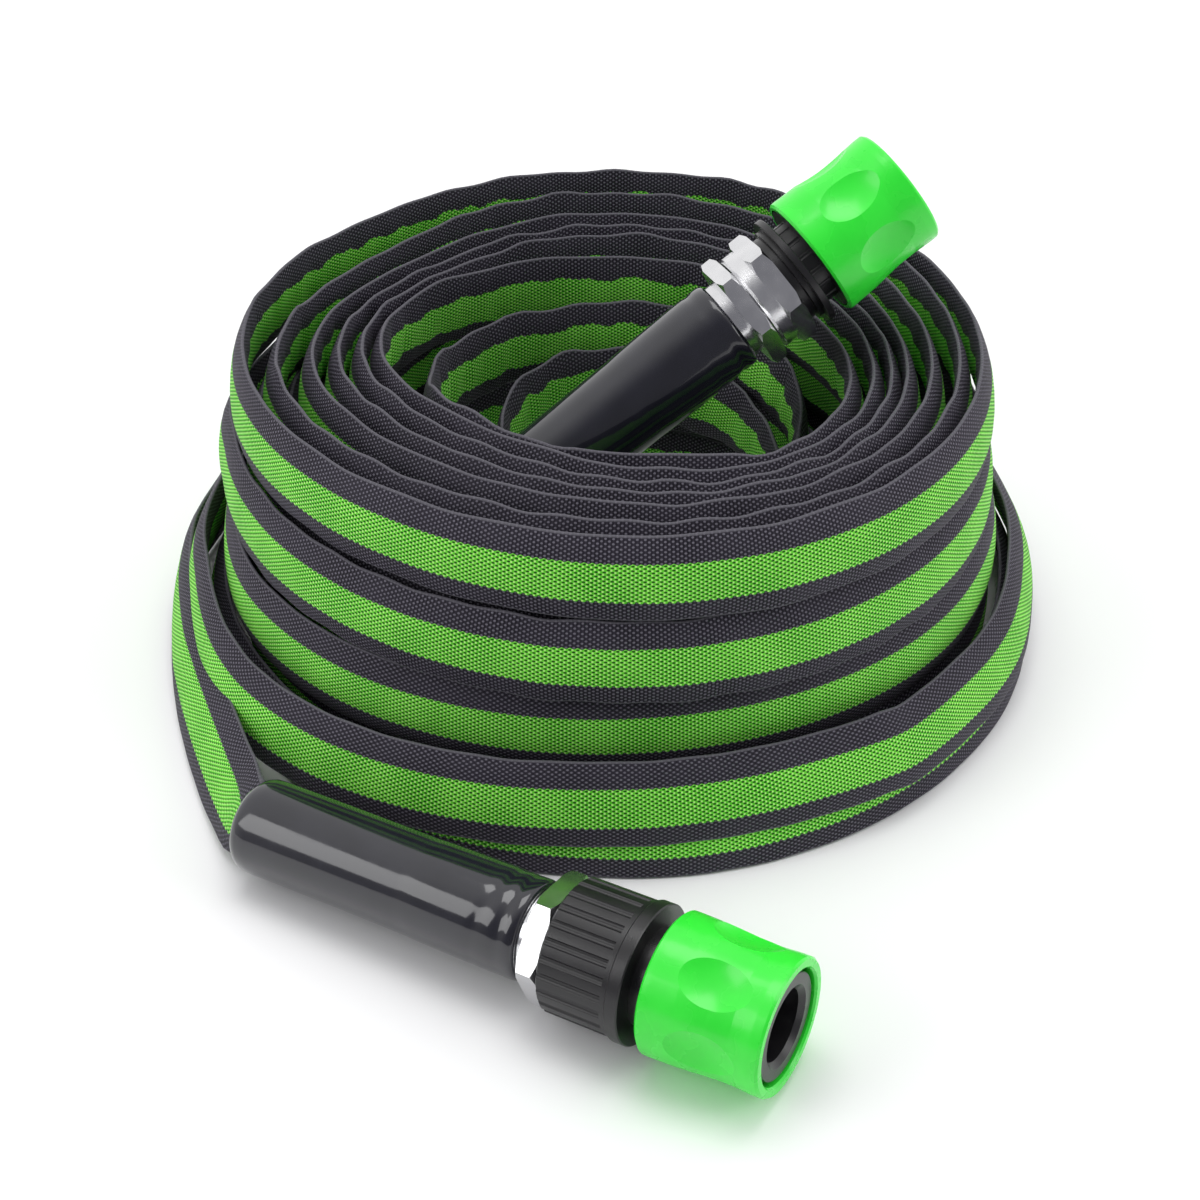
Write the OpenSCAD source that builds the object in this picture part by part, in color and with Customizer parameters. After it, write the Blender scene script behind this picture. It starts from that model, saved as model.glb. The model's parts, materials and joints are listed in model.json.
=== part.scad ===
// Coiled flat garden hose with a woven jacket and a click connector on each end.
// Millimetres, +Z up, the floor at z = 0. The coil lies flat, end A rests on the floor in
// front of it and end B leans out of the hollow over the right hand rim.
// Each fitting is drawn along its own axis: z = 0 is the connector mouth and the parts
// follow behind it at z = -t, where t is the distance back from the mouth.

/* [Hose] */
// Flat width of the hose, stood on edge in the coil
flat_w = 22.6; // [20:0.1:26]
// Thickness of the flat hose in the middle
flat_t = 4.4; // [3:0.1:6]
// Height from one layer of turns to the next
layer_step = 22.8; // [21:0.1:27]

/* [Coil] */
// Outer radius of the top layer, at the middle of the hose
top_r = 103; // [90:1:120]
// Outer radius of the second layer
upper_r = 109; // [95:1:125]
// Outer radius of the third layer
lower_r = 112; // [95:1:125]
// Outer radius of the bottom layer
base_r = 121; // [100:1:130]
// Radius of the innermost turn
inner_r = 58; // [50:1:75]

/* [End A, on the floor] */
// Connector mouth, measured from the coil axis on the floor
mouth_a = [38.2, -195.2, 19.3];
// Heading of the mouth, from +X towards +Y
turn_a = -30; // [-90:1:0]
// Rise of the mouth above level
tilt_a = 2.4; // [0:0.1:10]

/* [End B, over the rim] */
// Connector mouth, measured from the coil axis on the floor
mouth_b = [76.4, 2.8, 132.5];
// Heading of the mouth, from +X towards +Y
turn_b = 23; // [0:1:60]
// Rise of the mouth above level
tilt_b = 32; // [15:1:50]

/* [Connector] */
// Sealing bore radius in the socket
seal_r = 7.6; // [7:0.05:8.5]
// Entrance bore radius in the socket
entry_r = 8.9; // [8.5:0.05:9.5]
// Number of locking claws
claws = 3; // [3:1:3]
// Thread radius on the male side (plain)
thread_r = 13; // [12:0.05:13.3]
// Width across flats of the metal hexagons
hex_af = 29; // [27:0.5:34]

/* [Hidden] */
$fn = 96;
shift = [2.36, 39.56, 0];      // puts the middle of the whole object over the origin
jacket_black = [0.2, 0.19, 0.24];
green = [0.15, 0.9, 0.25];
plastic_black = [0.1, 0.1, 0.11];
steel = [0.8, 0.8, 0.83];
back_a = 66.5;               // t of the front of the cuff at end A
back_b = 58.7;               // and at end B
thread_gap = 0.35;           // plain clearance that stands for the screw thread

// ---------------------------------------------------------------- placing
module at_a() translate(shift + mouth_a) rotate([0, 90 - tilt_a, turn_a]) children();
module at_b() translate(shift + mouth_b) rotate([0, 90 - tilt_b, turn_b]) children();

// a turned piece: points are [radius, t]
module turned(points) rotate_extrude() polygon([for (p = points) [p[0], -p[1]]]);

// a plain tube from t0 back to t1
module tube(t0, t1, r_out, r_in)
  turned([[r_in, t0], [r_out, t0], [r_out, t1], [r_in, t1]]);

// a hexagon with its corners taken off by a turned shape
module hexagon(t0, t1, r_bore) {
  r_corner = hex_af / sqrt(3);
  intersection() {
    rotate([0, 0, 20]) translate([0, 0, -t1]) cylinder(h = t1 - t0, r = r_corner, $fn = 6);
    turned([[r_bore, t0], [r_corner - 1.4, t0], [r_corner + 0.1, t0 + 0.9],
            [r_corner + 0.1, t1 - 0.9], [r_corner - 1.4, t1], [r_bore, t1]]);
  }
}

// ---------------------------------------------------------------- the coil
// one turn of the flat hose: a closed ring on edge, thin at its two folds;
// lean is how much further out the lower fold stands than the upper one
module hose_turn(x, y, r, z, lean = 0) {
  h = flat_w;
  m = flat_t / 2;
  e = 0.8;
  translate(shift + [x, y, z]) rotate_extrude() polygon([
    [r + lean / 2 - e, 0], [r + lean / 2 + e, 0], [r + lean / 4 + m, h * 0.25],
    [r - lean / 4 + m, h * 0.75], [r - lean / 2 + e, h], [r - lean / 2 - e, h],
    [r - lean / 4 - m, h * 0.75], [r + lean / 4 - m, h * 0.25]]);
}

// a layer of turns, close together at the front and looser at the back
module layer(r_out, r_in, turns, drift, z)
  for (k = [0:turns - 1]) {
    s = k / (turns - 1);
    hose_turn(0, -drift * s, r_out + (r_in - r_out) * s, z);
  }

module coil_top() color(jacket_black) layer(top_r, inner_r, 7, 12, 3 * layer_step);
module coil_upper() color(jacket_black) layer(upper_r, inner_r + 8, 6, 9, 2 * layer_step);
module coil_lower() color(jacket_black) layer(lower_r, inner_r + 8, 6, 9, layer_step);
module coil_base() color(jacket_black) {
  hose_turn(0, -0.5, base_r, 0, 11);
  layer(base_r - 9.6, inner_r + 8, 6, 9, 0);
}

// ---------------------------------------------------------------- the two free stretches
// a swept flat tube: each station is [x, y, z, lean, half width, half thickness]
function catmull(a, b, c, d, u) =
  0.5 * (2 * b + (c - a) * u + (2 * a - 5 * b + 4 * c - d) * u * u
         + (3 * b - a - 3 * c + d) * u * u * u);
function smooth(p, per) = let (n = len(p) - 1) concat(
  [for (i = [0:n - 1], j = [0:per - 1])
    catmull(p[max(i - 1, 0)], p[i], p[i + 1], p[min(i + 2, n)], j / per)], [p[n]]);
function unit(v) = v / norm(v);
function place(s) = [s[0], s[1], s[2]];
sides = 8;
// the section is a flat lens: the 8 corners as [across, along the width]
section = [[0.35, 1], [1, 0.5], [1, -0.5], [0.35, -1],
           [-0.35, -1], [-1, -0.5], [-1, 0.5], [-0.35, 1]];
function ring(s, dir) =
  let (out = unit(cross(dir, [0, 0, 1])), up = cross(out, dir),
       w = up * cos(s[3]) - out * sin(s[3]), n = out * cos(s[3]) + up * sin(s[3]))
  [for (c = section) place(s) + n * c[0] * s[5] + w * c[1] * s[4]];
module flat_tube(stations) {
  n = len(stations);
  pts = [for (i = [0:n - 1])
    each ring(stations[i], unit(place(stations[min(i + 1, n - 1)]) - place(stations[max(i - 1, 0)])))];
  translate(shift) polyhedron(points = pts, faces = concat(
    [[for (j = [sides - 1:-1:0]) j]],
    [for (i = [0:n - 2], j = [0:sides - 1]) let (k = (j + 1) % sides)
      each [[i * sides + j, i * sides + k, (i + 1) * sides + k],
            [i * sides + j, (i + 1) * sides + k, (i + 1) * sides + j]]],
    [[for (j = [0:sides - 1]) (n - 1) * sides + j]]));
}

// a station on the way round the coil: heading, radius, height, and how far its lower fold
// stands out (degrees; minus because this stretch is swept clockwise)
function way(angle, r, z, lean) =
  [r * cos(angle), r * sin(angle), z, -lean, flat_w / 2, flat_t / 2];

// from the cuff of end A round the outside of the coil, down to the third layer
lead_a = smooth([
  [-92.4, -119.5, 12.9, 0, 8.8, 8.8], [-97.2, -116.2, 12.6, 0, 9.4, 7],
  [-102.4, -110.6, 12, 0, 11, 3.4], [-106.6, -102, 11.6, 0, 11.3, 2.2],
  [-110.8, -90.5, 11.5, 0, 11.3, 2.2], [-116, -76, 11.5, 0, 11.3, 2.2],
  [-121.4, -59, 11.5, 0, 11.3, 2.2], [-126.4, -36, 11.5, 0, 11.3, 2.2],
  way(-178, 130.5, 11.6, 2), way(-200, 129.8, 11.8, 5), way(-235, 128.8, 13, 10),
  way(-270, 127, 15, 14), way(-300, 125.5, 17.5, 18), way(-330, 124, 19.5, 22),
  way(-360, 122.8, 20.3, 24), way(-390, 122.4, 20.5, 25), way(-420, 122.4, 20.5, 26),
  way(-450, 122.2, 20.5, 26), way(-480, 122.6, 20.5, 25), way(-510, 124, 20.8, 20),
  way(-540, 124.2, 22.5, 14), way(-570, 123.4, 26.5, 8), way(-600, 122, 31.5, 3),
  way(-625, 119.8, 34.6, 0)], 3);
module hose_lead_a() color(jacket_black) flat_tube(lead_a);

// from the cuff of end B down under it, then two turns up the wall of the hollow
lead_b = smooth([
  [-35.6, -45.2, 56.4, 0, 8.8, 8.8], [-38.8, -46, 53.2, 0, 9.1, 6.6],
  [-40.5, -47, 48, 0, 10, 3], [-38.5, -52, 42.5, 0, 11.3, 2.2], [-31, -58.5, 37, 0, 11.3, 2.2],
  [-17, -63.5, 35, 0, 11.3, 2.2], [3, -65, 35, 0, 11.3, 2.2], [24, -58, 36, 0, 11.3, 2.2],
  [40, -42, 39, 0, 11.3, 2.2], [46, -20, 42, 0, 11.3, 2.2], [45, 4, 44, 0, 11.3, 2.2],
  [36, 24, 46, 0, 11.3, 2.2], [20, 33, 50, 0, 11.3, 2.2], [0, 33, 54, 0, 11.3, 2.2],
  [-18, 26, 55, 0, 11.3, 2.2], [-30, 10, 53, 0, 11.3, 2.2], [-32, -8, 47, 0, 11.3, 2.2],
  [-25, -25, 38, 0, 11.3, 2.2], [-12, -40, 33, 0, 11.3, 2.2], [6, -50, 33, 0, 11.3, 2.2],
  [26, -47, 38, 0, 11.3, 2.2], [43, -34, 47, 0, 11.3, 2.2], [52, -13, 56, 0, 11.3, 2.2],
  [50, 10, 62, 0, 11.3, 2.2], [35, 29, 65, 0, 11.3, 2.2], [13, 37, 67, 0, 11.3, 2.2],
  [-12, 36, 67, 0, 11.3, 2.2], [-35, 25, 67.5, 0, 11.3, 2.2], [-49, 6, 68.5, 0, 11.3, 2.2],
  [-51.5, -14, 72, 0, 11.3, 2.2], [-48, -32, 77.5, 0, 10.8, 2.2], [-38, -47, 80.6, 0, 10.2, 2.2],
  [-24, -58, 80, 0, 11, 2.2], [-8, -64.5, 79.7, 0, 11.3, 2.2]], 2);
module hose_lead_b() color(jacket_black) flat_tube(lead_b);

// ---------------------------------------------------------------- hose ends inside the cuffs
module jacket_end(t0) color(jacket_black) tube(t0 + 0.6, t0 + 80, 10.1, 9.15);
module liner(t0) color([0.75, 0.78, 0.8]) tube(t0 + 0.2, t0 + 81, 9.1, 7.85);
module ferrule(t0) color(steel) turned([[10.15, t0 + 0.3], [11.1, t0 + 0.3], [11.1, t0 + 8],
  [10.9, t0 + 9], [11.1, t0 + 10], [11.1, t0 + 20], [10.9, t0 + 21], [11.1, t0 + 22],
  [11.1, t0 + 31], [10.15, t0 + 31]]);
module cuff(t0) color(plastic_black) turned([[11.35, t0], [12.2, t0], [12.9, t0 + 1.2],
  [13, t0 + 4], [12.7, t0 + 80], [12.6, t0 + 88], [12.2, t0 + 89], [11.6, t0 + 89.2],
  [11.35, t0 + 88]]);
module jacket_end_a() at_a() jacket_end(back_a);
module jacket_end_b() at_b() jacket_end(back_b);
module liner_a() at_a() liner(back_a);
module liner_b() at_b() liner(back_b);
module ferrule_a() at_a() ferrule(back_a);
module ferrule_b() at_b() ferrule(back_b);
module cuff_a() at_a() cuff(back_a);
module cuff_b() at_b() cuff(back_b);

// ---------------------------------------------------------------- metal hose tails
// the barbed stem behind a hexagon; the bore runs right through
module barb(t0) turned(concat([[5.4, t0 - 3], [11.2, t0 - 3], [11.2, t0 + 0.1], [7.2, t0 + 0.1]],
  [for (i = [0:3], c = [[7.2, 2], [7.8, 2.2], [7.2, 7]]) [c[0], t0 + i * 6.5 + c[1]]],
  [[6.8, t0 + 29], [5.4, t0 + 29]]));
module tail_a() color(steel) at_a() {
  barb(back_a);
  hexagon(58.2, back_a - 2.8, 5.4);
  turned([[5.4, 46.6], [thread_r - 0.5, 46.6], [thread_r, 47.1], [thread_r, 58.3], [5.4, 58.3]]);
}
module tail_b() color(steel) at_b() {
  barb(back_b);
  hexagon(51.3, back_b - 2.8, 5.4);
  turned([[5.4, 47.4], [12.9, 47.4], [12.9, 49], [10.3, 49], [10.3, 51.4], [5.4, 51.4]]);
}

// swivel nut of end B, kept on the tail by the lip at its back
module nut_b() color(steel) at_b() difference() {
  union() {
    hexagon(41, 46.4, 5);
    turned([[0, 46], [14.6, 46], [14.6, 50], [14.1, 50.7], [0, 50.7]]);
  }
  translate([0, 0, -49.3]) cylinder(h = 9, r = thread_r + thread_gap);
  translate([0, 0, -52]) cylinder(h = 12, r = 10.7);
}

module washer_a() color([0.12, 0.12, 0.12]) at_a() tube(44.05, 46.5, 12.9, 6.4);
module washer_b() color([0.12, 0.12, 0.12]) at_b() tube(45.3, 47.3, 12.6, 6.4);

// ---------------------------------------------------------------- connector bodies
// female threaded body with a fluted grip
module body_a() color(plastic_black) at_a() difference() {
  turned([[10.65, 27.9], [12, 27.9], [12, 29], [15.8, 29], [15.8, 31], [12.2, 31],
    [12.2, 35.5], [17.2, 35.5], [17.5, 35.8], [17.5, 38.7], [17.2, 39], [16.9, 39.2],
    [16.9, 57.1], [16.4, 57.6], [thread_r + thread_gap, 57.6], [thread_r + thread_gap, 44],
    [6, 44], [6, 34.3], [10.65, 34.3]]);
  for (i = [0:23]) rotate([0, 0, i * 15]) translate([17.35, 0, -58]) cylinder(h = 17.6, r = 1.15, $fn = 24);
}
// male threaded body with a ribbed collar and a thin disc
module body_b() color(plastic_black) at_b() difference() {
  turned([[10.65, 27.9], [12, 27.9], [12, 29], [15.8, 29], [15.8, 31], [12.2, 31],
    [12.2, 35.2], [16.4, 35.2], [16.6, 35.4], [16.6, 37], [16.4, 37.2], [14.2, 37.2],
    [14.2, 38.6], [thread_r, 38.9], [thread_r, 44.7], [thread_r - 0.5, 45.2],
    [6, 45.2], [6, 34.3], [10.65, 34.3]]);
  for (i = [0:15]) rotate([0, 0, i * 22.5]) translate([12.7, 0, -35.1]) cylinder(h = 4, r = 0.9, $fn = 24);
}

// the socket barrel: lip and nose ring, three claw windows, sealing bore
module socket() color(plastic_black) difference() {
  turned([[entry_r, 2.2], [10.2, 0.9], [13, 0.9], [13.2, 1.1], [13.2, 5], [11.8, 5.4],
    [11.8, 27.5], [10.6, 27.5], [10.6, 34.1], [6, 34.1], [6, 26.5], [seal_r, 26],
    [seal_r, 14], [entry_r, 13.4]]);
  for (i = [0:claws - 1]) rotate([0, 0, i * 120]) translate([7, -2.9, -11.4]) cube([7, 5.8, 3.4]);
}
module socket_a() at_a() socket();
module socket_b() at_b() socket();

// one locking claw, ridden in and out by the cone inside the sleeve
module claw(i) color([0.78, 0.78, 0.76]) intersection() {
  turned([[8.1, 9.2], [8.9, 8.3], [12.93, 8.3], [12.33, 11.1], [8.1, 11.1]]);
  rotate([0, 0, i * 120]) translate([6, -2.6, -12]) cube([9, 5.2, 5]);
}
module claw_a1() at_a() claw(0);
module claw_a2() at_a() claw(1);
module claw_a3() at_a() claw(2);
module claw_b1() at_b() claw(0);
module claw_b2() at_b() claw(1);
module claw_b3() at_b() claw(2);

// the sliding sleeve: waisted, six oval thumb hollows, one small moulding slot
module sleeve() color(green) difference() {
  turned([[14.7, 0], [16.5, 0], [17, 0.6], [17, 3], [16.7, 8], [16.9, 14], [17.5, 22],
    [17.7, 29], [17.7, 30.4], [17.1, 31], [16.2, 31], [16.2, 23.5], [13.9, 22.5],
    [13.9, 12.6], [12.4, 12.6], [12.4, 12.2], [14.26, 3.5], [14.26, 0.6]]);
  for (i = [0:5]) rotate([0, 0, i * 60 + 30]) translate([35.1, 0, -13.8]) sphere(r = 20);
  rotate([0, 0, 60]) translate([15.9, -2.2, -3.8]) cube([3, 4.4, 0.9]);
}
module sleeve_a() at_a() sleeve();
module sleeve_b() at_b() sleeve();

// return spring behind the sleeve: a swept round wire
coil_sides = 6;
function wire(i, n) =
  let (a = 360 * 5 * i / n, t = 13.3 + 15.3 * i / n, c = cos(a), s = sin(a))
  [for (j = [0:coil_sides - 1]) let (b = j * 60)
    [(12.85 + 0.42 * cos(b)) * c, (12.85 + 0.42 * cos(b)) * s, -t + 0.42 * sin(b)]];
module spring() color(steel) {
  n = 78;
  polyhedron(points = [for (i = [0:n]) each wire(i, n)], faces = concat(
    [[for (j = [coil_sides - 1:-1:0]) j]],
    [for (i = [0:n - 1], j = [0:coil_sides - 1]) let (k = (j + 1) % coil_sides)
      each [[i * coil_sides + j, i * coil_sides + k, (i + 1) * coil_sides + k],
            [i * coil_sides + j, (i + 1) * coil_sides + k, (i + 1) * coil_sides + j]]],
    [[for (j = [0:coil_sides - 1]) n * coil_sides + j]]));
}
module spring_a() at_a() spring();
module spring_b() at_b() spring();

coil_top();
coil_upper();
coil_lower();
coil_base();
hose_lead_a();
hose_lead_b();
jacket_end_a();
jacket_end_b();
liner_a();
liner_b();
ferrule_a();
ferrule_b();
cuff_a();
cuff_b();
tail_a();
tail_b();
nut_b();
washer_a();
washer_b();
body_a();
body_b();
socket_a();
socket_b();
sleeve_a();
sleeve_b();
spring_a();
spring_b();
claw_a1();
claw_a2();
claw_a3();
claw_b1();
claw_b2();
claw_b3();
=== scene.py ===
# %% [markdown]
# # Flat garden hose, coiled, with two click connectors
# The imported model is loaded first: it fixes every place and size. Then come the camera, the one
# long hose, the soft parts that stand for plain solids, the materials, and the studio.
# Lengths in the tables are millimetres from the coil's axis; `MM` and `SHIFT` bring them into the
# model's frame in metres.

# %% Setup
import bpy
import json
import math
import numpy as np
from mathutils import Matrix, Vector


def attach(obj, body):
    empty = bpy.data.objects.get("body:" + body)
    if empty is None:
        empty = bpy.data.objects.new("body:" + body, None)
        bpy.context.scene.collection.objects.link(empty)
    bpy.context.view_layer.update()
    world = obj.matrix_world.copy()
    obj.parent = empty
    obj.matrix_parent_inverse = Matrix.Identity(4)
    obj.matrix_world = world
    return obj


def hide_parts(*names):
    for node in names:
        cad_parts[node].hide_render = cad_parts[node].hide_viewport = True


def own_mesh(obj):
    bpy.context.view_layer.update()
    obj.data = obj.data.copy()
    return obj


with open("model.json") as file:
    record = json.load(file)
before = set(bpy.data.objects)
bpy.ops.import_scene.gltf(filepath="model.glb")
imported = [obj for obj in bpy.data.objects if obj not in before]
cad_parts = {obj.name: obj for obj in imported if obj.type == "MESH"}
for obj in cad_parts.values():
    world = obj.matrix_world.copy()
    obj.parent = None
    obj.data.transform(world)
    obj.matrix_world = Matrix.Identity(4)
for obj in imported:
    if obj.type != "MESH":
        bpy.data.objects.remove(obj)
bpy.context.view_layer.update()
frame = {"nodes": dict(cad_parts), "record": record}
NODES = frame["nodes"]
MM = 0.001
SHIFT = np.array([2.36, 39.56, 0.0])

# %% [markdown]
# ## Camera
# Looking down at about 36.5 degrees from the front, a normal-to-long lens.

# %% Camera
cam_data = bpy.data.cameras.new("camera")
cam_data.lens, cam_data.sensor_width = 63.65, 36.0
cam_data.clip_start, cam_data.clip_end = 0.01, 20.0
cam = bpy.data.objects.new("camera", cam_data)
cam.location = (-0.00328, -0.48399, 0.3833)
cam.rotation_euler = (math.radians(53.48), 0.0, math.radians(-0.137))
bpy.context.scene.collection.objects.link(cam)
bpy.context.scene.camera = cam
print("camera at", tuple(cam.location))

# %% [markdown]
# ## The route of the hose
# One hose, from the cuff of end B to the cuff of end A, always turning the same way:
# up the wall of the hollow, outwards through the top layer, inwards through the second, outwards
# through the two lowest layers, then one turn at the foot and a loose loop that leans on it.
# A station is (x, y, z, lean, half width, half thickness, pucker).


# %% Route
HALF_W, HALF_T = 11.4, 2.45    # half width and half thickness of the flat hose
LAYER_Z = [11.3, 34.0, 56.8, 79.7]    # middle heights of the four layers


def spiral_radius(s, tables, corner):
    """Radius of a spiral given in four directions: r = a + b cos q + c sin q + d cos 2q, plus a
    squarer front, e (-sin 2q) (1 - sin q) / 2. s counts turns from the front."""
    q = 2 * math.pi * s - math.pi / 2
    front, right, back, left = [np.interp(s, at, v) for at, v in tables]
    a = (front + right + back + left) / 4
    b, c = (right - left) / 2, (back - front) / 2
    d = (right + left - back - front) / 4
    e = np.interp(s, *corner)
    return a + b * np.cos(q) + c * np.sin(q) + d * np.cos(2 * q) \
        + e * -np.sin(2 * q) * (1 - np.sin(q)) / 2


def steps(x, low, high):
    """Smooth 0 to 1 between low and high: t^2 (3 - 2 t)."""
    t = np.clip((x - low) / (high - low), 0, 1)
    return t * t * (3 - 2 * t)


def bump_at(q, heading, wide):
    """1 at a heading in degrees, falling off over `wide` degrees: exp(-(x / wide)^2)."""
    x = (np.degrees(q) - heading + 180) % 360 - 180
    return np.exp(-(x / wide) ** 2)


def shingle(q, front):
    """Lean of a layer: `front` degrees at the front, none at the back."""
    return front * ((1 - np.sin(q)) / 2) ** 0.4


def layer(s, tables, corner, z, lean, pucker=0.0):
    """Stations of one layer: s in turns from the front, z one value for each."""
    s = np.asarray(s, float)
    q = 2 * np.pi * s - np.pi / 2
    r = spiral_radius(s, tables, corner)
    one = np.ones_like(s)
    return np.stack([r * np.cos(q), r * np.sin(q), z * one, shingle(q, lean), HALF_W * one,
                     HALF_T * one, pucker * one], 1)


def way(angle, r, z, lean, pucker=0.0):
    """A station at a heading in degrees and a radius."""
    a = math.radians(angle)
    return [r * math.cos(a), r * math.sin(a), z, lean, HALF_W, HALF_T, pucker]


def flat(*points):
    """Upright stations, puckered, of the normal width."""
    return [[x, y, z, 0, HALF_W, HALF_T, 1.0] for x, y, z in points]


lead_b = [[-35.6, -45.2, 56.4, 0, 9.0, 8.8, 0], [-38.8, -46, 53.2, 0, 9.2, 6.8, 0],
          [-40.5, -47, 48, 0, 10, 3.2, 0.6]] + flat(
    (-38.5, -52, 42.5), (-31, -58.5, 37), (-17, -63.5, 35), (3, -65, 35), (24, -58, 36),
    (40, -42, 39), (46, -20, 42), (45, 4, 44), (36, 24, 46), (20, 33, 50), (0, 33, 54),
    (-18, 26, 55), (-30, 10, 53), (-32, -8, 47), (-25, -25, 38), (-12, -40, 33), (6, -50, 33),
    (26, -47, 38), (43, -34, 47), (52, -13, 56), (50, 10, 62), (35, 29, 65), (13, 37, 67),
    (-12, 36, 67), (-35, 25, 67.5), (-49, 6, 68.5), (-51.5, -14, 71), (-48, -32, 77.5),
    (-38, -47, 80.6), (-24, -58, 80), (-8, -64.5, 79.7))

turn = np.arange(7.0)
TOP = [(turn, [68, 73.2, 79.5, 84.7, 90, 98.2, 104.7]),
       (turn + 0.25, [61, 69.5, 75, 80, 88, 96.5, 103]),
       (turn + 0.5, [42.5, 57.5, 63.5, 71.5, 86, 101.3, 108]),
       (np.r_[-0.25, turn[:-1] + 0.75, 6.75], [58, 68, 74, 80.5, 88, 98.5, 106, 110])]
s_top = np.arange(0.08, 6.68, 1 / 20)
z_top = LAYER_Z[3] - 22.9 * steps(s_top, 6.3, 6.66)
top = layer(s_top, TOP, ([0, 6], [11, 4]), z_top, 12, 1.0)
# the turns run flatter at the back left, where a wide gap opens behind the outermost one
q_top = 2 * np.pi * s_top - np.pi / 2
dent = 3.2 * bump_at(q_top, 137, 20) * steps(s_top, 5.4, 5.5) * (s_top < 6) \
    - 3.0 * bump_at(q_top, 62, 16) * steps(s_top, 5.25, 5.32) * (s_top < 6) \
    + np.interp(s_top, [0.6, 1.6, 2.6, 3.6, 4.6], [3, 7.5, 8.5, 10, 12]) \
    * bump_at(q_top, 147, 30) * (s_top < 5.1)
top[:, :2] -= dent[:, None] * np.stack([np.cos(q_top), np.sin(q_top)], 1)

# second layer, inwards
UPPER = [(turn + 7, [109, 101, 94, 87, 80, 73, 66]),
         (turn + 7.25, [105, 100.2, 93, 86, 78, 70, 63]),
         (turn + 6.5, [109, 104, 96, 88, 79, 69, 58]),
         (turn + 6.75, [110.3, 103.5, 95, 86, 78, 71, 63])]
s_up = np.arange(6.73, 12.6, 1 / 20)
z_up = LAYER_Z[2] - 22.8 * steps(s_up, 12.3, 12.58)
upper = layer(s_up, UPPER, ([6, 12], [1.9, 2]), z_up, 12, 0.6)

# the two lowest layers, outwards, each place in the lower one and then in the upper one or back
slots = np.repeat([64.0, 73, 82, 91, 100, 109], 2)
at = np.arange(12.0) + 12.6
s_low = np.arange(12.64, 24.42, 1 / 16)
r_low = np.interp(s_low, np.ravel(np.stack([at + 0.06, at + 0.94], 1)), np.repeat(slots, 2))
z_slot = np.take(LAYER_Z, [1, 0, 0, 1] * 3)
z_low = np.interp(s_low, np.ravel(np.stack([at + 0.1, at + 0.9], 1)), np.repeat(z_slot, 2))
q_low = 2 * np.pi * s_low - np.pi / 2
grow = (r_low - 64) / 45
last = steps(s_low, 23.3, 23.6)
r_low = r_low + grow * (4.6 * last * bump_at(q_low, 211, 33)
                        - 1.8 * last * bump_at(q_low, 284, 26))
one = np.ones_like(s_low)
lower = np.stack([r_low * np.cos(q_low), r_low * np.sin(q_low) - 6 * (1 - grow), z_low,
                  shingle(q_low, 9) * last, HALF_W * one, HALF_T * one, 0 * one], 1)

# the foot: one turn on the floor, up behind, and a loose loop down to end A
foot = [way(88, 114.5, 25, 2), way(108, 117.5, 15, 6), way(130, 118, 11.0, 11),
        way(150, 117.8, 10.6, 13), way(175, 118, 10.5, 14), way(200, 119, 10.5, 17),
        way(225, 120.4, 10.4, 22), way(250, 121.4, 10.3, 26), way(275, 121.8, 10.3, 26),
        way(296, 121.5, 10.3, 26), way(316, 120.4, 10.3, 26), way(336, 119.6, 10.3, 26),
        way(356, 118.8, 10.5, 24), way(375, 118.6, 11, 18), way(395, 119.5, 12.5, 10, 0.3),
        way(412, 121.4, 17, 5, 0.3), way(430, 122.6, 23, 4, 0.3), way(447, 121.8, 29, 3, 0.3)]
loop = [way(466, 120.8, 33, 2, 0.4), way(490, 120.4, 31, 4, 0.4), way(512, 120.5, 27.5, 8, 0.4),
        way(540, 121.3, 23.6, 12, 0.3), way(555, 123.4, 21.6, 17), way(570, 126.6, 20.0, 21),
        way(583, 127.4, 19.7, 23), way(597, 126, 19.9, 24), way(613, 123.4, 20.3, 24),
        way(630, 121.0, 20.5, 24), way(645, 120.7, 20.5, 24), way(660, 121.6, 20.2, 23),
        way(671, 122.2, 19.2, 22), way(690, 121.2, 18.8, 22), way(706, 120.2, 19.2, 22),
        way(725, 120.4, 19.6, 22), way(750, 122.8, 19.4, 21), way(780, 124.6, 17.5, 18, 0.3),
        way(810, 125.4, 15, 14, 0.3), way(845, 125.2, 13, 10, 0.3), way(872, 125.8, 11.8, 6),
        way(892, 127.2, 11.5, 7), way(904, 128.6, 11.3, 14), [-124.0, -38, 11.0, 23, 11.4, 2.4, 0],
        [-118.4, -58, 10.6, 31, 11.4, 2.4, 0], [-112.4, -75.5, 10.4, 36, 11.4, 2.4, 0],
        [-107.2, -89.5, 10.5, 38, 11.4, 2.4, 0], [-103.2, -100.0, 10.9, 38, 11.4, 2.4, 0.4],
        [-100.0, -107.8, 11.5, 37, 11.4, 2.6, 0.5], [-96.6, -114.2, 12.4, 35, 11.2, 3.8, 0.8],
        [-93.0, -118.8, 12.9, 28, 10.4, 6.4, 0.4], [-88.2, -122.2, 13.1, 16, 9.2, 8.8, 0]]
stations = np.array(lead_b + top.tolist() + upper.tolist() + lower.tolist() + foot + loop)


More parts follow.
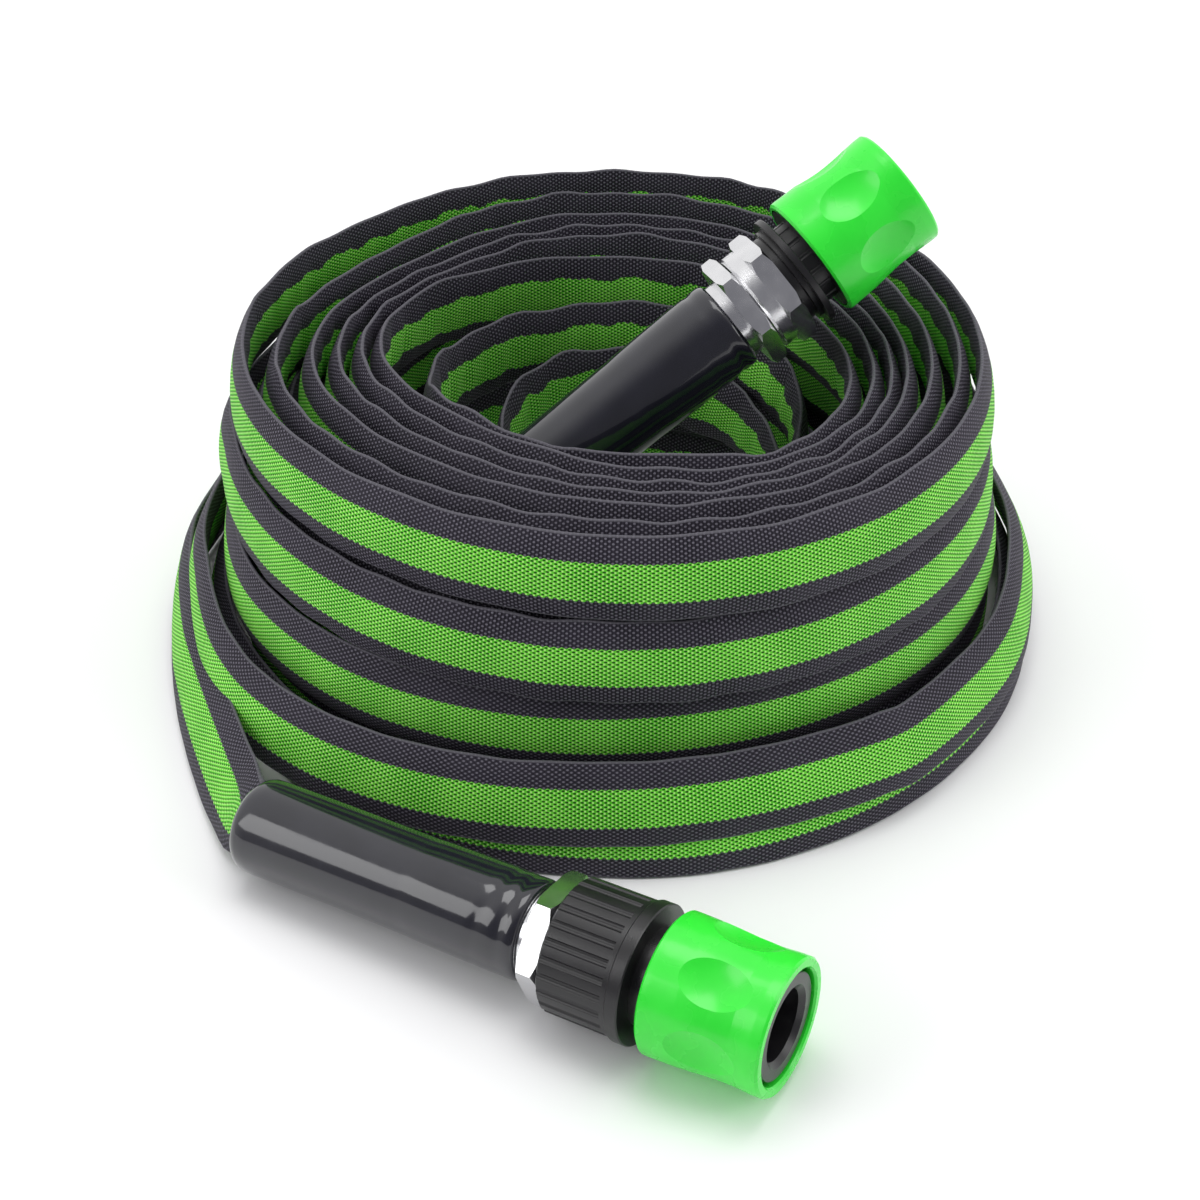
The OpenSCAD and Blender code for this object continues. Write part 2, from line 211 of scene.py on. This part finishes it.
def run_through(points, spacing):
    """Centripetal Catmull-Rom through the points, resampled about every `spacing`:
    p(t) = 0.5 (2b + (c-a) t + (2a-5b+4c-d) t^2 + (3b-a-3c+d) t^3)."""
    p = np.vstack([2 * points[0] - points[1], points, 2 * points[-1] - points[-2]])
    a, b, c, d = p[:-3], p[1:-2], p[2:-1], p[3:]
    fine = 16
    t = (np.arange(fine) / fine)[None, :, None]
    a, b, c, d = a[:, None], b[:, None], c[:, None], d[:, None]
    q = 0.5 * (2 * b + (c - a) * t + (2 * a - 5 * b + 4 * c - d) * t ** 2
               + (3 * b - a - 3 * c + d) * t ** 3)
    q = np.vstack([q.reshape(-1, points.shape[1]), points[-1:]])
    along = np.r_[0, np.cumsum(np.linalg.norm(np.diff(q[:, :3], axis=0), axis=1))]
    gap = spacing(along, q)
    count = np.r_[0, np.cumsum(np.diff(along) / (0.5 * (gap[1:] + gap[:-1])))]
    even = np.interp(np.linspace(0, count[-1], int(count[-1]) + 1), count, along)
    return np.stack([np.interp(even, along, q[:, k]) for k in range(q.shape[1])], 1), even


def spacing(along, q):
    """Close rings where the hose shows, wide ones deep inside the coil."""
    r = np.hypot(q[:, 0], q[:, 1])
    z = q[:, 2]
    deep = (z < 62) & (r < 105) & (along > 1000)
    return np.where(deep, 9.0, 3.1)


line, along = run_through(stations, spacing)
print("hose length", round(along[-1] / 1000, 2), "m,", len(line), "rings")

# %% [markdown]
# ## The woven hose
# Its section is two cloth faces joined at two thin folds. The outer face is plump; the face that
# is on the inside of the bend is puckered, because the cloth there is too long for its way.

# %% Hose mesh
HALF = [(11.3, 0.0), (11.05, 0.5), (10.5, 0.72), (9.7, 1.12), (8.2, 1.85), (6.0, 2.5),
        (3.2, 2.95), (0.0, 3.1)]
ACROSS = np.array([w for w, t in HALF] + [-w for w, t in HALF[-2::-1]]) / 11.3
THICK = np.array([t for w, t in HALF] + [t for w, t in HALF[-2::-1]]) / 3.1


def wander(x, seed, wave):
    """A smooth wandering line of about -1 to 1: four sines of nearby wavelengths."""
    rng = np.random.default_rng(seed)
    out = np.zeros_like(x)
    for k in range(4):
        out += np.sin(2 * np.pi * x / (wave * rng.uniform(0.6, 1.7)) + rng.uniform(0, 6.28))
    return out / 2.6


def hose_mesh(line, along):
    """Vertices, faces and cloth coordinates of the swept section. Round near its ends:
    the section blends from the flat lens to a circle as half thickness nears half width."""
    place, lean = line[:, :3], np.radians(line[:, 3])
    half_w, half_t, pucker = line[:, 4], line[:, 5], line[:, 6]
    way_on = np.gradient(place, along, axis=0)
    way_on /= np.linalg.norm(way_on, axis=1)[:, None]
    out = np.cross(way_on, [0, 0, 1.0])
    out /= np.linalg.norm(out, axis=1)[:, None]
    up = np.cross(out, way_on)
    w = up * np.cos(lean)[:, None] - out * np.sin(lean)[:, None]
    n = out * np.cos(lean)[:, None] + up * np.sin(lean)[:, None]
    bend = np.gradient(way_on, along, axis=0)
    curve = np.clip(np.linalg.norm(bend, axis=1) * 60, 0.2, 1.4)

    m = len(ACROSS)
    ang = np.linspace(0, np.pi, m)
    roundness = np.clip((half_t / half_w - 0.3) / 0.6, 0, 1)[:, None]
    lens_w, lens_t = ACROSS[None], THICK[None]
    sec_w = (lens_w * (1 - roundness) + np.cos(ang)[None] * roundness) * half_w[:, None]
    sec_t = (lens_t * (1 - roundness) + np.sin(ang)[None] * roundness)
    wave = np.clip((0.3 + 0.5 * pucker) * wander(along, 3, 26) * curve, -0.8, 0.8)
    rise = wave[:, None] * (np.abs(ACROSS) ** 2)[None] * (1 - roundness)
    outer = sec_t * (half_t * 1.12 * (1 - roundness[:, 0]) + half_t * roundness[:, 0])[:, None]
    # puckers: folds across the inner face, deepest in the middle, each of its own size
    phase = along + 2.2 * wander(along, 11, 60)
    fold = np.sin(2 * np.pi * phase / 9.5) * 0.55 + 0.35 * wander(along, 5, 6.5)
    skew = np.sin(2 * np.pi * (phase[:, None] + 3 * ACROSS[None]) / 9.5)
    dent = (0.6 * fold[:, None] + 0.5 * skew) * (1 - np.abs(ACROSS[None]) ** 3)
    inner_t = half_t * (0.86 * (1 - roundness[:, 0]) + roundness[:, 0])
    inner = sec_t * inner_t[:, None] + dent * (0.62 * pucker * curve)[:, None] * (sec_t > 0.05)

    def ring(side, amount):
        return place[:, None] + n[:, None] * (side * amount)[..., None] \
            + w[:, None] * (sec_w + rise)[..., None]

    a, b = ring(1.0, outer), ring(-1.0, inner)
    verts = np.concatenate([a, b[:, 1:-1]], 1)
    rows, cols = verts.shape[0], verts.shape[1]
    loop = list(range(m)) + [m + k for k in range(m - 3, -1, -1)]
    ids = np.arange(rows * cols).reshape(rows, cols)[:, loop + [0]]
    quads = np.stack([ids[:-1, :-1], ids[:-1, 1:], ids[1:, 1:], ids[1:, :-1]], -1).reshape(-1, 4)
    v_front = ACROSS * 11.3
    v_loop = np.r_[v_front, (v_front[::-1] + 60)[1:]]
    starts = np.r_[v_front[:-1], v_front[::-1][:-1] + 60]
    ends = np.r_[v_front[1:], v_front[::-1][1:] + 60]
    u = along
    tex_u = np.stack([u[:-1], u[:-1], u[1:], u[1:]], -1)[:, None].repeat(len(starts), 1)
    tex_v = np.stack([starts, ends, ends, starts], -1)[None].repeat(rows - 1, 0)
    uv = np.stack([tex_u, tex_v], -1).reshape(-1, 2)
    verts[..., 2] = np.maximum(verts[..., 2], 0.12)
    return verts.reshape(-1, 3), quads, uv * MM


def new_mesh(name, verts, faces, uv=None):
    """A mesh object in metres from arrays; faces is an (n, 4) array of corners."""
    mesh = bpy.data.meshes.new(name)
    mesh.vertices.add(len(verts))
    mesh.vertices.foreach_set("co", np.asarray(verts, np.float32).ravel())
    mesh.loops.add(faces.size)
    mesh.loops.foreach_set("vertex_index", faces.astype(np.int32).ravel())
    mesh.polygons.add(len(faces))
    mesh.polygons.foreach_set("loop_start", np.arange(0, faces.size, faces.shape[1], dtype=np.int32))
    if uv is not None:
        layer_uv = mesh.uv_layers.new(name="cloth")
        layer_uv.data.foreach_set("uv", np.asarray(uv, np.float32).ravel())
    mesh.update(calc_edges=True)
    mesh.validate()
    mesh.polygons.foreach_set("use_smooth", np.full(len(mesh.polygons), True))
    obj = bpy.data.objects.new(name, mesh)
    bpy.context.scene.collection.objects.link(obj)
    return obj


verts, quads, uv = hose_mesh(line, along)
hose = new_mesh("hose", (verts + SHIFT) * MM, quads, uv)
print("hose triangles", 2 * len(quads))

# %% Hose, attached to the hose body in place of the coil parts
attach(hose, "hose")
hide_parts("coil_top", "coil_upper", "coil_lower", "coil_base", "hose_lead_a", "hose_lead_b")


# %% [markdown]
# ## Cuffs
# Each cuff is a soft glossy tube, shrunk over the metal ring: slightly uneven, gathered in a few
# folds at its front and rounded at its back.

# %% Cuffs
def axis_frame(mouth, turn, tilt):
    """Origin and three directions of a connector: its own z points out of the mouth."""
    a, b = math.radians(turn), math.radians(tilt)
    z = np.array([math.cos(b) * math.cos(a), math.cos(b) * math.sin(a), math.sin(b)])
    x = np.array([math.sin(b) * math.cos(a), math.sin(b) * math.sin(a), -math.cos(b)])
    return np.array(mouth) + SHIFT, x, np.cross(z, x), z


END_A = axis_frame([38.2, -195.2, 19.3], -30, 2.4)
END_B = axis_frame([76.4, 2.8, 132.5], 23, 32)


def lathe(name, end, profile, segments, change):
    """A turned piece: profile points are (radius, t), t the distance back from the mouth.
    change(r, t, angle) may alter the radius. Faces point outwards, the profile is closed."""
    prof = np.array(profile, float)
    ang = 2 * np.pi * np.arange(segments) / segments
    r, t = prof[:, :1] + 0 * ang[None], prof[:, 1:] + 0 * ang[None]
    r = change(r, t, ang[None] + 0 * r)
    o, x, y, z = end
    pts = o + (r * np.cos(ang))[..., None] * x + (r * np.sin(ang))[..., None] * y - t[..., None] * z
    k = len(prof)
    ids = np.arange(k * segments).reshape(k, segments)
    ids = np.concatenate([ids, ids[:, :1]], 1)
    ids = np.concatenate([ids, ids[:1]], 0)
    q = np.stack([ids[:-1, :-1], ids[1:, :-1], ids[1:, 1:], ids[:-1, 1:]], -1).reshape(-1, 4)
    return new_mesh(name, pts.reshape(-1, 3) * MM, q)


def cuff(name, end, t0, seed):
    """Outside of the cuff: r = 13 swelling 0.2 over the ring, with folds near the front."""
    outside = [(11.4, 0.0), (12.1, 0.0), (12.7, 0.45), (12.95, 1.3)]
    outside += [(13.0 - 0.004 * t, t) for t in np.arange(2.2, 36, 0.9)]
    outside += [(12.86 - 0.0022 * t, t) for t in np.arange(38, 81.5, 2.0)]
    outside += [(12.6, 82.4), (12.2, 83.7), (11.6, 84.6), (11.0, 85.0), (10.6, 84.9), (10.5, 84.2),
                (11.38, 80.0), (11.38, 30.0)]
    rng = np.random.default_rng(seed)
    bumps = rng.uniform(0, 2 * np.pi, 6)

    def change(r, t, a):
        outer = (r > 11.45)
        soft = 0.10 * np.sin(2 * a + bumps[0] + t / 30) + 0.06 * np.sin(3 * a + bumps[1] - t / 17)
        ring = 0.16 * np.exp(-((t - 16) / 15) ** 4) - 0.1 * np.exp(-((t - 34) / 3.0) ** 2)
        fold = 0.42 * np.exp(-((t - 5.2 - 0.9 * np.sin(a + bumps[2])) / 1.3) ** 2) \
            * (0.55 + 0.45 * np.sin(2 * a + bumps[3])) * -1
        crease = -0.22 * np.exp(-((t - 10.5 - 2.2 * np.sin(a + bumps[4])) / 1.6) ** 2) \
            * (0.5 + 0.5 * np.sin(a + bumps[5]))
        edge = steps(t, 0.2, 3.0) * (1 - steps(t, 80, 83.5))
        return r + outer * edge * (soft + ring + fold + crease) - 0.12 * outer
    return lathe(name, end, [(p[0], p[1] + t0) for p in outside], 112,
                 lambda r, t, a: change(r, t - t0, a))


cuffs = []
for key, end, t0 in (("a", END_A, 66.5), ("b", END_B, 58.7)):
    piece = cuff("cuff_skin_" + key, end, t0, 7 + ord(key))
    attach(piece, "hose")
    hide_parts("cuff_" + key)
    cuffs.append(piece)
print("cuffs", [len(c.data.polygons) for c in cuffs])

# %% [markdown]
# ## Springs
# The return spring in each sleeve is a round wire, closed at both ends. The real one shortens as
# the sleeve slides back; this one keeps one length and moves with its connector.

# %% Springs
def spring(name, end, key):
    """A helix of 6.4 turns, 0.8 of a turn at each end wound close, swept by a round wire."""
    n, sides, turns = 420, 10, 6.4
    f = np.linspace(0, 1, n)
    q = 2 * np.pi * turns * f
    t = 13.6 + 14.7 * np.clip((f * turns - 0.8) / (turns - 1.6), 0, 1) + 0.35 * np.sin(np.pi * f)
    o, x, y, z = end
    radial = np.cos(q)[:, None] * x + np.sin(q)[:, None] * y
    b = 2 * np.pi * np.arange(sides) / sides
    pts = o + radial[:, None] * (12.85 + 0.42 * np.cos(b))[None, :, None] \
        - (t[:, None] - 0.42 * np.sin(b)[None])[..., None] * z
    ids = np.arange(n * sides).reshape(n, sides)
    ids = np.concatenate([ids, ids[:, :1]], 1)
    quads = np.stack([ids[:-1, :-1], ids[:-1, 1:], ids[1:, 1:], ids[1:, :-1]], -1).reshape(-1, 4)
    obj = new_mesh(name, pts.reshape(-1, 3) * MM, quads)
    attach(obj, "connector_" + key)
    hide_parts("spring_" + key)
    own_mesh(obj)
    return obj


springs = [spring("spring_wire_" + k, e, k) for k, e in (("a", END_A), ("b", END_B))]
print("springs", [len(s.data.vertices) for s in springs])

# %% [markdown]
# ## Materials
# All are built from nodes on the cloth's own coordinates or on object coordinates.


# %% Material helpers
class Tree:
    """Short names for building a node tree: each call adds a node and returns its output."""

    def __init__(self, tree):
        self.tree = tree

    def add(self, kind, **facts):
        node = self.tree.nodes.new(kind)
        for key, value in facts.items():
            setattr(node, key, value)
        return node

    def link(self, source, target):
        if isinstance(source, (int, float)):
            target.default_value = source
        elif isinstance(source, (tuple, list)):
            target.default_value = tuple(source) + ((1.0,) if len(source) == 3
                                                    and target.type == "RGBA" else ())
        else:
            self.tree.links.new(source, target)

    def math(self, op, a, b=0.0, c=0.0):
        node = self.add("ShaderNodeMath", operation=op)
        for value, socket in zip((a, b, c), node.inputs):
            self.link(value, socket)
        return node.outputs[0]

    def ramp(self, x, low, high, lo=0.0, hi=1.0):
        """Smooth step of x from lo at low to hi at high."""
        node = self.add("ShaderNodeMapRange", interpolation_type="SMOOTHSTEP")
        for value, socket in zip((x, low, high, lo, hi), node.inputs):
            self.link(value, socket)
        return node.outputs[0]

    def mix(self, amount, a, b):
        """Colour a where amount is 0, b where it is 1."""
        node = self.add("ShaderNodeMix", data_type="RGBA")
        self.link(amount, node.inputs[0])
        self.link(a, node.inputs[6])
        self.link(b, node.inputs[7])
        return node.outputs[2]

    def noise(self, vector, scale, detail=2.0, rough=0.5):
        node = self.add("ShaderNodeTexNoise")
        self.link(vector, node.inputs["Vector"])
        node.inputs["Scale"].default_value = scale
        node.inputs["Detail"].default_value = detail
        node.inputs["Roughness"].default_value = rough
        return node.outputs["Fac"]

    def bump(self, height, distance, strength):
        node = self.add("ShaderNodeBump")
        node.inputs["Distance"].default_value = distance
        node.inputs["Strength"].default_value = strength
        self.link(height, node.inputs["Height"])
        return node.outputs["Normal"]


def material(name):
    """A new node material with its principled shader; returns (material, tree, shader)."""
    mat = bpy.data.materials.new(name)
    mat.use_nodes = True
    shader = mat.node_tree.nodes["Principled BSDF"]
    return mat, Tree(mat.node_tree), shader


# %% Woven cloth
STITCH, ROW = 0.00195, 0.00057    # metres along and across the hose


def cloth():
    """Woven jacket. Rows run along the hose 0.57 mm apart, stitches are 1.95 mm long and half a
    stitch further on in each row. Green in the middle 11 mm of each face, near black beside it."""
    mat, k, shader = material("woven_jacket")
    uv_node = k.add("ShaderNodeUVMap", uv_map="cloth")
    split = k.add("ShaderNodeSeparateXYZ")
    k.link(uv_node.outputs[0], split.inputs[0])
    u, v0 = split.outputs[0], split.outputs[1]
    inside = k.math("GREATER_THAN", v0, 0.03)
    v = k.math("SUBTRACT", v0, k.math("MULTIPLY", inside, 0.06))
    coords = k.add("ShaderNodeTexCoord").outputs["Object"]
    slow = k.noise(coords, 60.0, 3.0)
    fine = k.noise(coords, 900.0, 2.0)
    row = k.math("DIVIDE", k.math("ADD", v, 0.5), ROW)
    row_i = k.math("FLOOR", row)
    dv = k.math("SUBTRACT", k.math("FRACT", row), 0.5)
    odd = k.math("MULTIPLY", k.math("MODULO", row_i, 2.0), 0.5)
    jitter = k.math("MULTIPLY", k.math("SUBTRACT", fine, 0.5), 0.10)
    cell = k.math("ADD", k.math("ADD", k.math("DIVIDE", u, STITCH), odd), jitter)
    du = k.math("SUBTRACT", k.math("FRACT", cell), 0.5)

    def blob(x, y, wide, tall):
        """1 at the middle of a stitch gap, 0 outside an ellipse of that half size."""
        ex = k.math("POWER", k.math("DIVIDE", x, wide), 2.0)
        ey = k.math("POWER", k.math("DIVIDE", y, tall), 2.0)
        return k.ramp(k.math("ADD", ex, ey), 0.45, 1.25, 1.0, 0.0)

    gap = blob(du, dv, 0.24, 0.42)
    # near black cloth gets small grey dots of painted sheen on its stitches, in the same places
    float_sheen = blob(du, dv, 0.19, 0.46)
    # edge of the stripe: steps of one stitch, ragged where the inner face is puckered
    zig = k.math("MULTIPLY", k.math("ABSOLUTE", k.math("SUBTRACT", k.math("FRACT", k.math(
        "DIVIDE", u, STITCH)), 0.5)), 0.0008)
    ragged = k.math("MULTIPLY", k.math("MULTIPLY", k.math("SUBTRACT", k.noise(
        coords, 130.0, 1.0), 0.5), 0.0045), inside)
    middle = k.math("ADD", k.math("ADD", v, 0.0006), ragged)
    edge = k.math("ADD", k.math("SUBTRACT", k.math("ABSOLUTE", middle), 0.0053), zig)
    green = k.ramp(edge, -0.00012, 0.00012, 1.0, 0.0)
    selvedge = k.ramp(k.math("ABSOLUTE", v), 0.0106, 0.0110)

    bright = k.ramp(slow, 0.35, 0.65)
    green_a = k.mix(bright, (0.09, 0.56, 0.02), (0.15, 0.70, 0.04))
    # painted highlight: a pale yellow-green glint just after each gap in the green stitches
    painted_highlight = blob(k.math("SUBTRACT", du, 0.33), dv, 0.17, 0.5)
    green_b = k.mix(k.math("MULTIPLY", painted_highlight, 0.85), green_a, (0.62, 1.0, 0.30))
    green_c = k.mix(k.math("MULTIPLY", gap, 0.95), green_b, (0.006, 0.05, 0.005))
    black_a = k.mix(bright, (0.014, 0.012, 0.018), (0.022, 0.019, 0.028))
    column = k.math("COSINE", k.math("MULTIPLY", k.math("DIVIDE", u, STITCH), 12.566))
    black_c = k.mix(k.ramp(column, -0.6, 0.9, 0.0, 0.5), black_a, (0.042, 0.037, 0.052))
    # painted sheen: the stitch dots lighten the near black cloth towards grey
    black_b = k.mix(k.math("MULTIPLY", float_sheen, 0.9), black_c, (0.165, 0.155, 0.19))
    both = k.mix(green, black_b, green_c)
    final = k.mix(k.math("MULTIPLY", selvedge, 0.75), both, (0.13, 0.125, 0.145))
    k.link(final, shader.inputs["Base Color"])
    relief = k.math("SUBTRACT", k.math("MULTIPLY", float_sheen, k.math("SUBTRACT", 1.0, green)),
                    k.math("MULTIPLY", gap, green))
    cords = k.math("MULTIPLY", k.math("SINE", k.math("MULTIPLY", k.math("DIVIDE", u, 0.00102),
                                                     6.2832)), 0.25)
    height = k.math("ADD", k.math("ADD", relief, cords), k.math("MULTIPLY", fine, 0.3))
    k.link(k.bump(height, 0.00018, 0.7), shader.inputs["Normal"])
    k.link(k.ramp(k.math("ADD", fine, gap), 0.2, 1.2, 0.52, 0.75), shader.inputs["Roughness"])
    shader.inputs["Specular IOR Level"].default_value = 0.14
    shader.inputs["Sheen Weight"].default_value = 0.02
    shader.inputs["Sheen Roughness"].default_value = 0.4
    return mat


# %% Plastics, metal and rubber
def plastic(name, colour, dark, rough, coat=0.0, grain=0.0):
    """Moulded plastic: a little cloudiness in colour and gloss, faint flow and fine grain."""
    mat, k, shader = material(name)
    coords = k.add("ShaderNodeTexCoord").outputs["Object"]
    cloud = k.noise(coords, 90.0, 3.0)
    speck = k.noise(coords, 2600.0, 2.0)
    k.link(k.mix(k.ramp(cloud, 0.3, 0.7), dark, colour), shader.inputs["Base Color"])
    k.link(k.ramp(cloud, 0.25, 0.75, rough - 0.04, rough + 0.05), shader.inputs["Roughness"])
    wave = k.noise(coords, 160.0, 2.0)
    height = k.math("ADD", wave, k.math("MULTIPLY", speck, grain))
    k.link(k.bump(height, 0.00008, 0.6), shader.inputs["Normal"])
    shader.inputs["Coat Weight"].default_value = coat
    shader.inputs["Coat Roughness"].default_value = 0.06
    return mat


def steel(name):
    """Bright plated steel: fine turning lines, a few duller patches."""
    mat, k, shader = material(name)
    coords = k.add("ShaderNodeTexCoord").outputs["Object"]
    cloud = k.noise(coords, 120.0, 3.0)
    fine = k.noise(coords, 3000.0, 2.0)
    shader.inputs["Metallic"].default_value = 1.0
    k.link(k.mix(cloud, (0.62, 0.62, 0.64), (0.88, 0.88, 0.89)), shader.inputs["Base Color"])
    k.link(k.ramp(cloud, 0.3, 0.7, 0.14, 0.27), shader.inputs["Roughness"])
    k.link(k.bump(k.math("ADD", fine, k.math("MULTIPLY", cloud, 2.0)), 0.00004, 0.5),
           shader.inputs["Normal"])
    return mat


def rubber(name, colour):
    """Matt rubber with a soft mottling."""
    mat, k, shader = material(name)
    coords = k.add("ShaderNodeTexCoord").outputs["Object"]
    fine = k.noise(coords, 1200.0, 3.0)
    k.link(k.mix(fine, colour, tuple(0.6 * c for c in colour)), shader.inputs["Base Color"])
    shader.inputs["Roughness"].default_value = 0.7
    k.link(k.bump(fine, 0.0001, 0.4), shader.inputs["Normal"])
    return mat


MATS = {
    "jacket": cloth(),
    "green_plastic": plastic("green_plastic", (0.035, 0.86, 0.045), (0.028, 0.80, 0.038), 0.27,
                             coat=0.15, grain=0.15),
    "black_plastic": plastic("black_plastic", (0.013, 0.012, 0.014), (0.009, 0.0085, 0.010), 0.30,
                             grain=0.5),
    "cuff_black": plastic("cuff_black", (0.013, 0.013, 0.021), (0.009, 0.009, 0.015), 0.13,
                          coat=0.6, grain=0.05),
    "steel": steel("plated_steel"),
    "rubber": rubber("black_rubber", (0.02, 0.02, 0.021)),
    "liner": rubber("inner_tube", (0.5, 0.52, 0.54)),
    "claw_grey": plastic("claw_grey", (0.50, 0.51, 0.51), (0.44, 0.45, 0.45), 0.4, grain=0.4),
}
SLOT = {p["node"]: p["material_slot"] for p in frame["record"]["subparts"]}


def dress(obj, slot):
    """One material on the whole piece."""
    obj.data.materials.clear()
    obj.data.materials.append(MATS[slot])


dress(hose, "jacket")
for piece in cuffs:
    dress(piece, "cuff_black")
for piece in springs:
    dress(piece, "steel")
hidden = {"coil_top", "coil_upper", "coil_lower", "coil_base", "hose_lead_a", "hose_lead_b",
          "cuff_a", "cuff_b", "spring_a", "spring_b"}
for node, obj in NODES.items():
    if node in hidden:
        continue
    for k in range(max(1, len(obj.material_slots))):
        if not obj.material_slots:
            obj.data.materials.append(MATS[SLOT[node]])
        obj.material_slots[k].material = MATS[SLOT[node]]
print("materials", sorted(MATS))

# %% [markdown]
# ## Soft edges
# The turned and milled solids get a small rounding on their sharp edges.

# %% Edge rounding
for node, obj in NODES.items():
    if node in hidden or node.startswith(("liner", "jacket_end", "washer", "ferrule")):
        continue
    bevel = obj.modifiers.new("rounding", "BEVEL")
    bevel.width = 0.00025 if not node.startswith("sleeve") else 0.0004
    bevel.segments = 2
    bevel.limit_method = "ANGLE"
    bevel.angle_limit = math.radians(38)

# %% [markdown]
# ## Studio
# A pale floor, a big soft light overhead, one from each side, and a white room that is darker on
# the viewer's side.

# %% Studio
half = 3.0
floor = new_mesh("floor", np.array([[-half, -half, 0], [half, -half, 0], [half, half, 0],
                                    [-half, half, 0]]) - [0, 0, 0.0002], np.array([[0, 1, 2, 3]]))
mat, k, shader = material("floor_paper")
coords = k.add("ShaderNodeTexCoord").outputs["Object"]
k.link(k.mix(k.noise(coords, 30.0), (0.955, 0.955, 0.957), (0.965, 0.965, 0.967)),
       shader.inputs["Base Color"])
shader.inputs["Roughness"].default_value = 0.6
shader.inputs["Specular IOR Level"].default_value = 0.1
floor.data.materials.append(mat)


def light(name, place, aim, size, power, size_y=None):
    """An area light of that size in metres, aimed at a point."""
    data = bpy.data.lights.new(name, "AREA")
    data.shape, data.size, data.size_y = "RECTANGLE", size, size_y or size
    data.energy = power
    obj = bpy.data.objects.new(name, data)
    obj.location = place
    obj.rotation_euler = (Vector(place) - Vector(aim)).to_track_quat("Z", "Y").to_euler()
    bpy.context.scene.collection.objects.link(obj)
    return obj


light("overhead", (0.0, 0.15, 1.35), (0, 0, 0.05), 0.9, 6.0, 0.7)
light("left", (-1.1, -0.5, 0.75), (0, 0, 0.08), 0.7, 4.0)
light("right", (1.1, -0.35, 0.7), (0, 0, 0.08), 0.6, 3.0)
world = bpy.data.worlds.new("room")
bpy.context.scene.world = world
world.use_nodes = True
k = Tree(world.node_tree)
facing = k.add("ShaderNodeSeparateXYZ")
k.link(k.add("ShaderNodeTexCoord").outputs["Generated"], facing.inputs[0])
k.link(k.mix(k.ramp(facing.outputs[1], -0.75, 0.15), (0.22, 0.22, 0.24), (1.0, 1.0, 1.0)),
       world.node_tree.nodes["Background"].inputs[0])
world.node_tree.nodes["Background"].inputs[1].default_value = 1.0
bpy.context.scene.view_settings.view_transform = "Standard"
